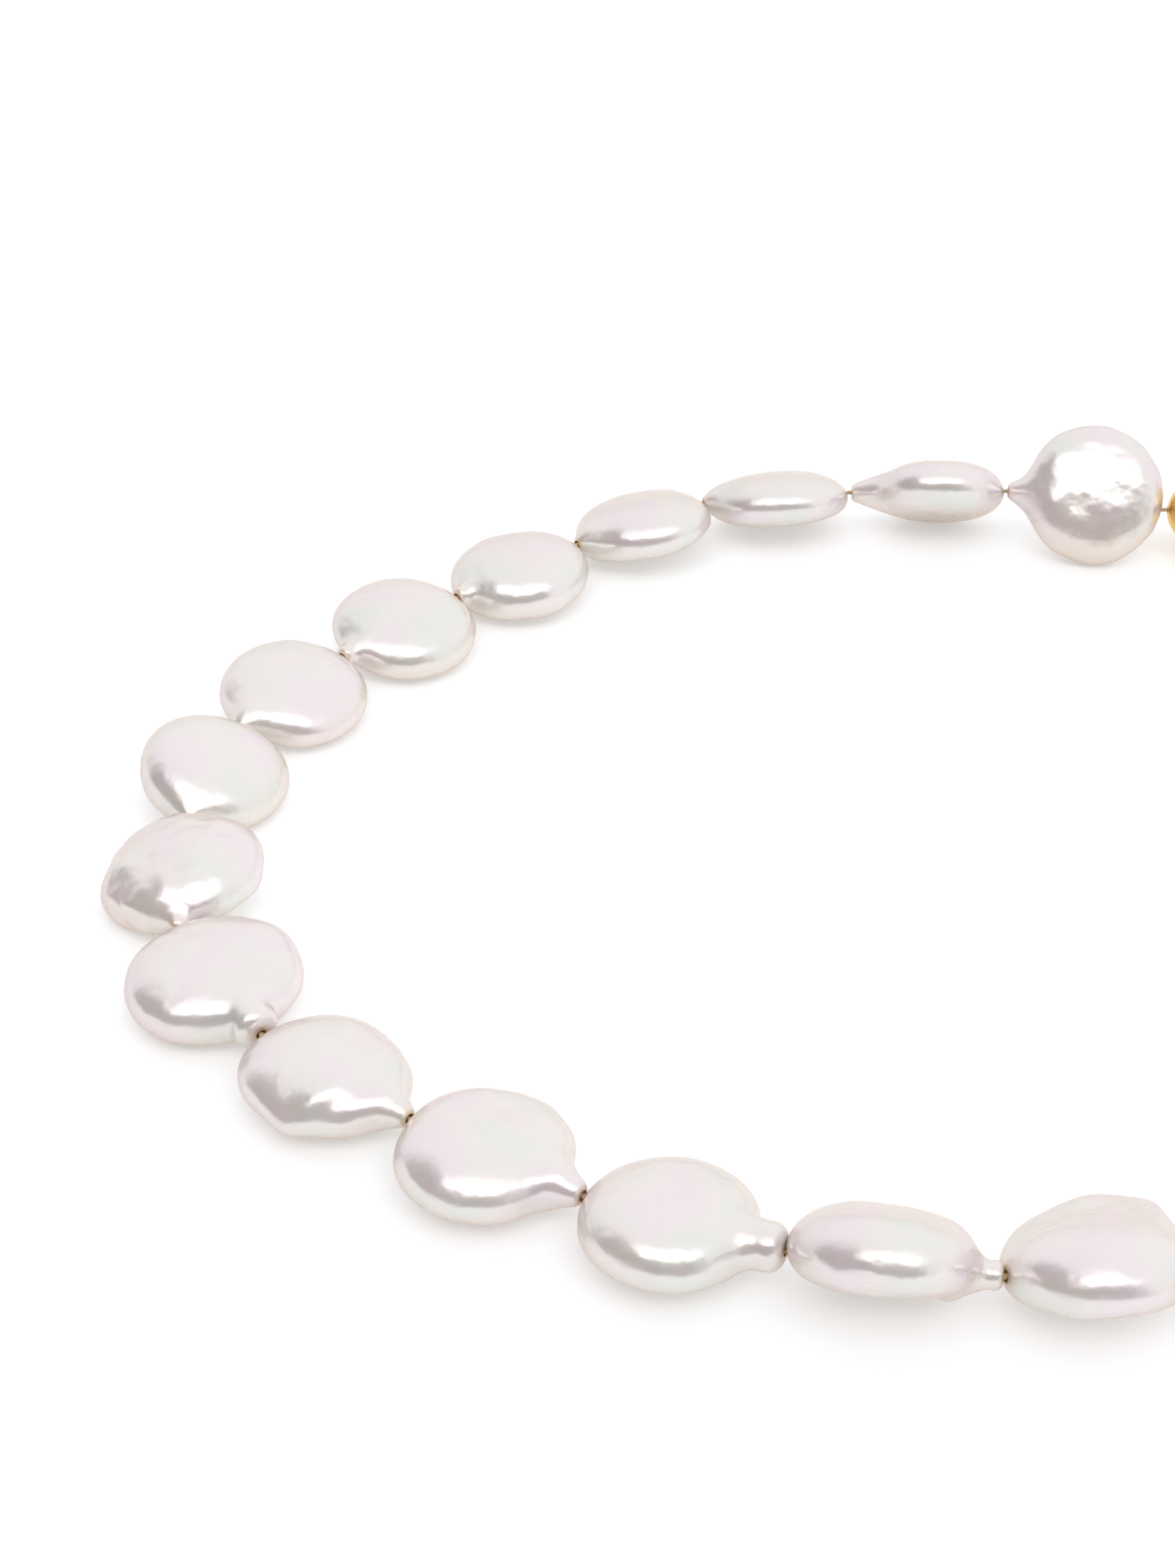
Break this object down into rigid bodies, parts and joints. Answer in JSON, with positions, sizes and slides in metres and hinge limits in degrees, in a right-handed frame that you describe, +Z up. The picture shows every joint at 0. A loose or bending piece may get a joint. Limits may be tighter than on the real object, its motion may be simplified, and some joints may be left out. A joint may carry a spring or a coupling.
{
  "type": "pearl necklace",
  "caption": "Single-strand necklace of flat coin pearls on silk thread, closed by a magnetic ball clasp, lying as an open loop.",
  "frame": {"origin": "bottom centre of the closed loop, on the surface that it lies on", "axes": "+X to the right along the loop's width, +Y back towards the clasp, +Z up"},
  "size_m": [0.1778, 0.1131, 0.0106],
  "materials": {
    "nacre": "satin",
    "silk": "matte",
    "clasp_gold": "satin",
    "magnet_plating": "satin"
  },
  "bodies": {
    "front_pearl": {"front_pearl": "nacre", "thread": "silk"},
    "left_pearl_01": {"left_pearl_01": "nacre"},
    "left_pearl_02": {"left_pearl_02": "nacre"},
    "left_pearl_03": {"left_pearl_03": "nacre"},
    "left_pearl_04": {"left_pearl_04": "nacre"},
    "left_pearl_05": {"left_pearl_05": "nacre"},
    "left_pearl_06": {"left_pearl_06": "nacre"},
    "left_pearl_07": {"left_pearl_07": "nacre"},
    "left_pearl_08": {"left_pearl_08": "nacre"},
    "left_pearl_09": {"left_pearl_09": "nacre"},
    "left_pearl_10": {"left_pearl_10": "nacre"},
    "left_pearl_11": {"left_pearl_11": "nacre"},
    "left_pearl_12": {"left_pearl_12": "nacre"},
    "left_pearl_13": {"left_pearl_13": "nacre"},
    "left_pearl_14": {"left_pearl_14": "nacre"},
    "left_pearl_15": {"left_pearl_15": "nacre"},
    "left_clasp_half": {"left_clasp_shell": "clasp_gold", "left_clasp_magnet": "magnet_plating"},
    "right_pearl_01": {"right_pearl_01": "nacre"},
    "right_pearl_02": {"right_pearl_02": "nacre"},
    "right_pearl_03": {"right_pearl_03": "nacre"},
    "right_pearl_04": {"right_pearl_04": "nacre"},
    "right_pearl_05": {"right_pearl_05": "nacre"},
    "right_pearl_06": {"right_pearl_06": "nacre"},
    "right_pearl_07": {"right_pearl_07": "nacre"},
    "right_pearl_08": {"right_pearl_08": "nacre"},
    "right_pearl_09": {"right_pearl_09": "nacre"},
    "right_pearl_10": {"right_pearl_10": "nacre"},
    "right_pearl_11": {"right_pearl_11": "nacre"},
    "right_pearl_12": {"right_pearl_12": "nacre"},
    "right_pearl_13": {"right_pearl_13": "nacre"},
    "right_pearl_14": {"right_pearl_14": "nacre"},
    "right_pearl_15": {"right_pearl_15": "nacre"},
    "right_clasp_half": {"right_clasp_shell": "clasp_gold", "right_clasp_magnet": "magnet_plating"}
  },
  "joints": [
    {"name": "left_bend_01", "type": "hinge", "parent": "front_pearl", "child": "left_pearl_01", "pos_m": [-0.007, -0.0475, 0.0036], "axis": [0, 0, 1], "range_deg": [0, 20], "deforming": ["thread"]},
    {"name": "left_bend_02", "type": "hinge", "parent": "left_pearl_01", "child": "left_pearl_02", "pos_m": [-0.01993, -0.0517, 0.0042], "axis": [0, 0, 1], "range_deg": [0, 20], "deforming": ["thread"]},
    {"name": "left_bend_03", "type": "hinge", "parent": "left_pearl_02", "child": "left_pearl_03", "pos_m": [-0.03386, -0.05024, 0.0036], "axis": [0, 0, 1], "range_deg": [0, 20], "deforming": ["thread"]},
    {"name": "left_bend_04", "type": "hinge", "parent": "left_pearl_03", "child": "left_pearl_04", "pos_m": [-0.04755, -0.04579, 0.0029], "axis": [0, 0, 1], "range_deg": [0, 20], "deforming": ["thread"]},
    {"name": "left_bend_05", "type": "hinge", "parent": "left_pearl_04", "child": "left_pearl_05", "pos_m": [-0.06021, -0.03934, 0.0028], "axis": [0, 0, 1], "range_deg": [0, 20], "deforming": ["thread"]},
    {"name": "left_bend_06", "type": "hinge", "parent": "left_pearl_05", "child": "left_pearl_06", "pos_m": [-0.07228, -0.0315, 0.0028], "axis": [0, 0, 1], "range_deg": [0, 20], "deforming": ["thread"]},
    {"name": "left_bend_07", "type": "hinge", "parent": "left_pearl_06", "child": "left_pearl_07", "pos_m": [-0.08102, -0.02031, 0.0028], "axis": [0, 0, 1], "range_deg": [0, 20], "deforming": ["thread"]},
    {"name": "left_bend_08", "type": "hinge", "parent": "left_pearl_07", "child": "left_pearl_08", "pos_m": [-0.08342, -0.00672, 0.0029], "axis": [0, 0, 1], "range_deg": [0, 20], "deforming": ["thread"]},
    {"name": "left_bend_09", "type": "hinge", "parent": "left_pearl_08", "child": "left_pearl_09", "pos_m": [-0.08224, 0.00683, 0.0029], "axis": [0, 0, 1], "range_deg": [0, 20], "deforming": ["thread"]},
    {"name": "left_bend_10", "type": "hinge", "parent": "left_pearl_09", "child": "left_pearl_10", "pos_m": [-0.07566, 0.01919, 0.0028], "axis": [0, 0, 1], "range_deg": [0, 20], "deforming": ["thread"]},
    {"name": "left_bend_11", "type": "hinge", "parent": "left_pearl_10", "child": "left_pearl_11", "pos_m": [-0.06717, 0.03006, 0.0029], "axis": [0, 0, 1], "range_deg": [0, 20], "deforming": ["thread"]},
    {"name": "left_bend_12", "type": "hinge", "parent": "left_pearl_11", "child": "left_pearl_12", "pos_m": [-0.05758, 0.03999, 0.0032], "axis": [0, 0, 1], "range_deg": [0, 20], "deforming": ["thread"]},
    {"name": "left_bend_13", "type": "hinge", "parent": "left_pearl_12", "child": "left_pearl_13", "pos_m": [-0.04655, 0.04861, 0.0036], "axis": [0, 0, 1], "range_deg": [0, 20], "deforming": ["thread"]},
    {"name": "left_bend_14", "type": "hinge", "parent": "left_pearl_13", "child": "left_pearl_14", "pos_m": [-0.03256, 0.05108, 0.0042], "axis": [0, 0, -1], "range_deg": [0, 20], "deforming": ["thread"]},
    {"name": "left_bend_15", "type": "hinge", "parent": "left_pearl_14", "child": "left_pearl_15", "pos_m": [-0.01796, 0.05108, 0.0052], "axis": [0, 0, -1], "range_deg": [0, 20], "deforming": ["thread"]},
    {"name": "left_clasp_turn", "type": "hinge", "parent": "left_pearl_15", "child": "left_clasp_half", "pos_m": [-0.0031, 0.05006, 0.0046], "axis": [-1, 0, 0], "continuous": true, "deforming": ["thread"]},
    {"name": "right_bend_01", "type": "hinge", "parent": "front_pearl", "child": "right_pearl_01", "pos_m": [0.007, -0.0475, 0.0036], "axis": [0, 0, -1], "range_deg": [0, 20], "deforming": ["thread"]},
    {"name": "right_bend_02", "type": "hinge", "parent": "right_pearl_01", "child": "right_pearl_02", "pos_m": [0.01993, -0.0517, 0.0042], "axis": [0, 0, -1], "range_deg": [0, 20], "deforming": ["thread"]},
    {"name": "right_bend_03", "type": "hinge", "parent": "right_pearl_02", "child": "right_pearl_03", "pos_m": [0.03386, -0.05024, 0.0036], "axis": [0, 0, -1], "range_deg": [0, 20], "deforming": ["thread"]},
    {"name": "right_bend_04", "type": "hinge", "parent": "right_pearl_03", "child": "right_pearl_04", "pos_m": [0.04755, -0.04579, 0.0029], "axis": [0, 0, -1], "range_deg": [0, 20], "deforming": ["thread"]},
    {"name": "right_bend_05", "type": "hinge", "parent": "right_pearl_04", "child": "right_pearl_05", "pos_m": [0.06021, -0.03934, 0.0028], "axis": [0, 0, -1], "range_deg": [0, 20], "deforming": ["thread"]},
    {"name": "right_bend_06", "type": "hinge", "parent": "right_pearl_05", "child": "right_pearl_06", "pos_m": [0.07228, -0.0315, 0.0028], "axis": [0, 0, -1], "range_deg": [0, 20], "deforming": ["thread"]},
    {"name": "right_bend_07", "type": "hinge", "parent": "right_pearl_06", "child": "right_pearl_07", "pos_m": [0.08102, -0.02031, 0.0028], "axis": [0, 0, -1], "range_deg": [0, 20], "deforming": ["thread"]},
    {"name": "right_bend_08", "type": "hinge", "parent": "right_pearl_07", "child": "right_pearl_08", "pos_m": [0.08342, -0.00672, 0.0029], "axis": [0, 0, -1], "range_deg": [0, 20], "deforming": ["thread"]},
    {"name": "right_bend_09", "type": "hinge", "parent": "right_pearl_08", "child": "right_pearl_09", "pos_m": [0.08224, 0.00683, 0.0029], "axis": [0, 0, -1], "range_deg": [0, 20], "deforming": ["thread"]},
    {"name": "right_bend_10", "type": "hinge", "parent": "right_pearl_09", "child": "right_pearl_10", "pos_m": [0.07566, 0.01919, 0.0028], "axis": [0, 0, -1], "range_deg": [0, 20], "deforming": ["thread"]},
    {"name": "right_bend_11", "type": "hinge", "parent": "right_pearl_10", "child": "right_pearl_11", "pos_m": [0.06717, 0.03006, 0.0029], "axis": [0, 0, -1], "range_deg": [0, 20], "deforming": ["thread"]},
    {"name": "right_bend_12", "type": "hinge", "parent": "right_pearl_11", "child": "right_pearl_12", "pos_m": [0.05758, 0.03999, 0.0032], "axis": [0, 0, -1], "range_deg": [0, 20], "deforming": ["thread"]},
    {"name": "right_bend_13", "type": "hinge", "parent": "right_pearl_12", "child": "right_pearl_13", "pos_m": [0.04655, 0.04861, 0.0036], "axis": [0, 0, -1], "range_deg": [0, 20], "deforming": ["thread"]},
    {"name": "right_bend_14", "type": "hinge", "parent": "right_pearl_13", "child": "right_pearl_14", "pos_m": [0.03256, 0.05108, 0.0042], "axis": [0, 0, 1], "range_deg": [0, 20], "deforming": ["thread"]},
    {"name": "right_bend_15", "type": "hinge", "parent": "right_pearl_14", "child": "right_pearl_15", "pos_m": [0.01796, 0.05108, 0.0052], "axis": [0, 0, 1], "range_deg": [0, 20], "deforming": ["thread"]},
    {"name": "right_clasp_turn", "type": "hinge", "parent": "right_pearl_15", "child": "right_clasp_half", "pos_m": [0.0031, 0.05006, 0.0046], "axis": [1, 0, 0], "continuous": true, "deforming": ["thread"]}
  ]
}
